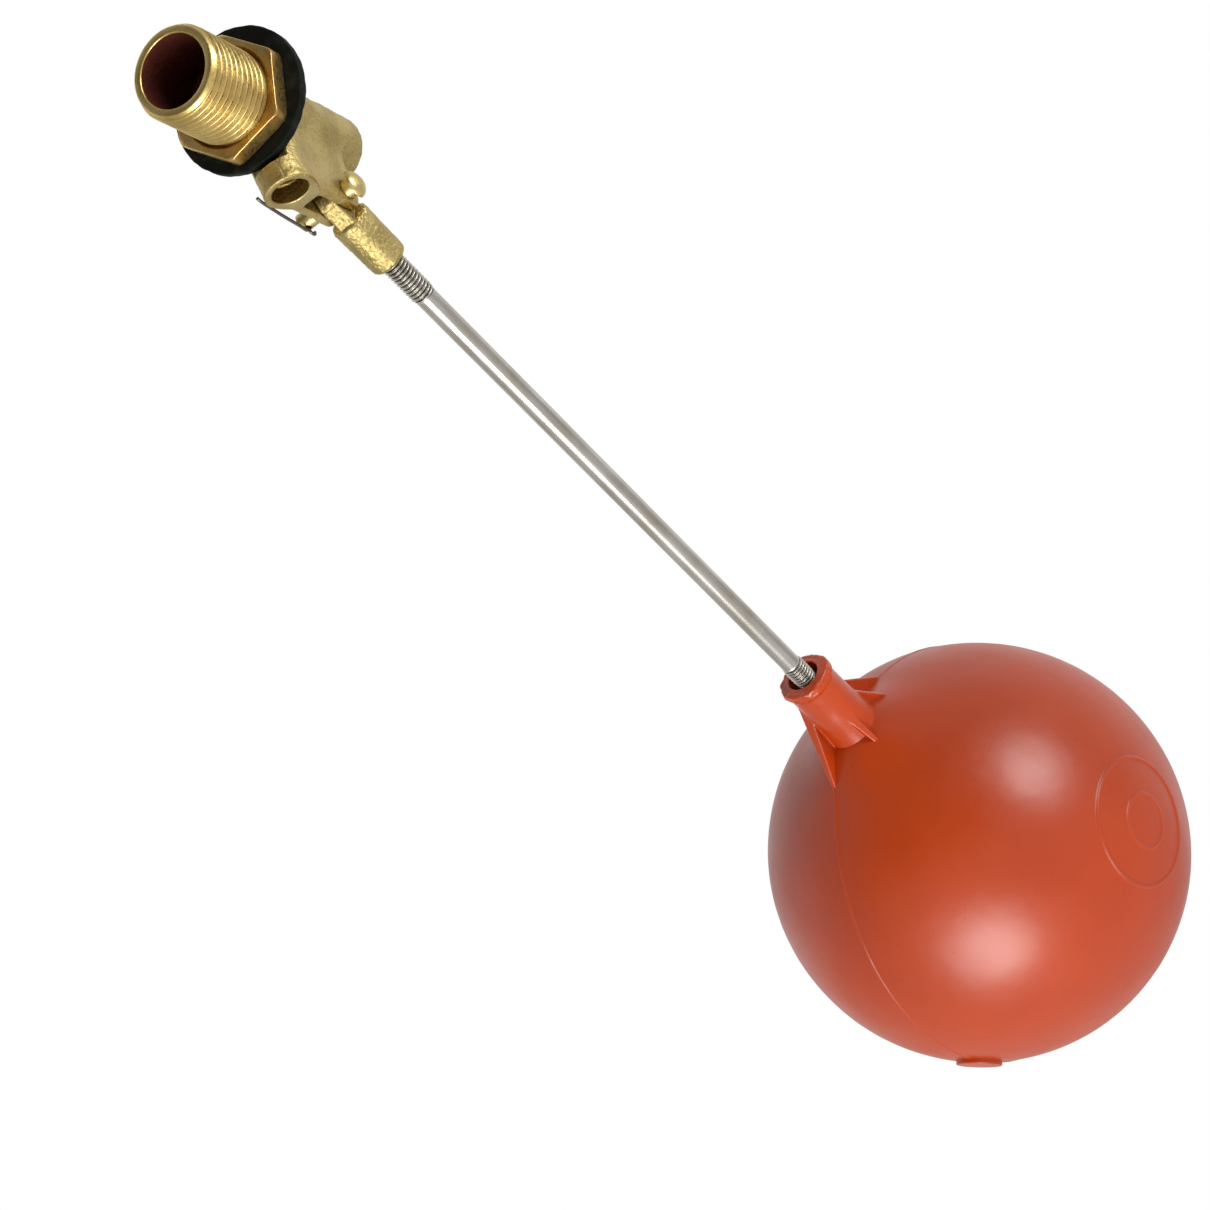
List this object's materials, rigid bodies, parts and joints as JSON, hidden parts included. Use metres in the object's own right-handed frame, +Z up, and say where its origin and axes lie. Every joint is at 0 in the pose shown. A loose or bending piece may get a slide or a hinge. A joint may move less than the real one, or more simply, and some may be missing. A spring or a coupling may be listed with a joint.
{
  "type": "float valve",
  "caption": "Side-inlet float valve: threaded brass body with backnut and washer, sliding piston, pivoted lever, straight rod and hollow plastic ball float.",
  "frame": {"origin": "centre of the inlet end face, on the axis of the shank", "axes": "+X along the shank from the inlet to the open end of the cylinder, +Z up with the outlet facing down, +Y along the hinge pin from its head to its tail"},
  "size_m": [0.3193, 0.1142, 0.2448],
  "materials": {
    "cast_brass": "sand cast, lightly tumbled",
    "turned_brass": "machined",
    "bright_brass": "polished",
    "rod_steel": "drawn stainless",
    "zinc_steel": "zinc plated wire",
    "tank_rubber": "moulded, matt",
    "seat_rubber": "moulded, matt",
    "nozzle_plastic": "moulded acetal",
    "float_plastic": "moulded polyethylene, semi-matt"
  },
  "bodies": {
    "valve": {"valve_body": "cast_brass", "seat_nozzle": "nozzle_plastic", "hinge_pin": "bright_brass", "cotter_pin": "zinc_steel"},
    "washer": {"tank_washer": "tank_rubber"},
    "nut": {"backnut": "turned_brass"},
    "plunger": {"piston": "bright_brass", "seat_washer": "seat_rubber", "piston_cap": "bright_brass"},
    "arm": {"lever": "cast_brass", "float_rod": "rod_steel", "float_insert": "bright_brass", "float_neck": "float_plastic", "float_ball": "float_plastic", "float_plug": "float_plastic"}
  },
  "joints": [
    {"name": "lever_pivot", "type": "hinge", "parent": "valve", "child": "arm", "pos_m": [0.0464, 0, -0.0184], "axis": [0, -1, 0], "range_deg": [0, 36]},
    {"name": "piston_slide", "type": "slide", "parent": "valve", "child": "plunger", "axis": [1, 0, 0], "range_m": [-0.00835, 0]},
    {"name": "washer_travel", "type": "slide", "parent": "valve", "child": "washer", "axis": [-1, 0, 0], "range_m": [0, 0.01633]},
    {"name": "backnut_spin", "type": "hinge", "parent": "washer", "child": "nut", "pos_m": [0.0203, 0, 0], "axis": [-1, 0, 0], "range_deg": [0, 3240]}
  ],
  "couplings": [
    {"joint": "piston_slide", "follows": "lever_pivot", "m_per_rad": -0.013289},
    {"joint": "washer_travel", "follows": "backnut_spin", "m_per_rad": 0.00028871}
  ]
}
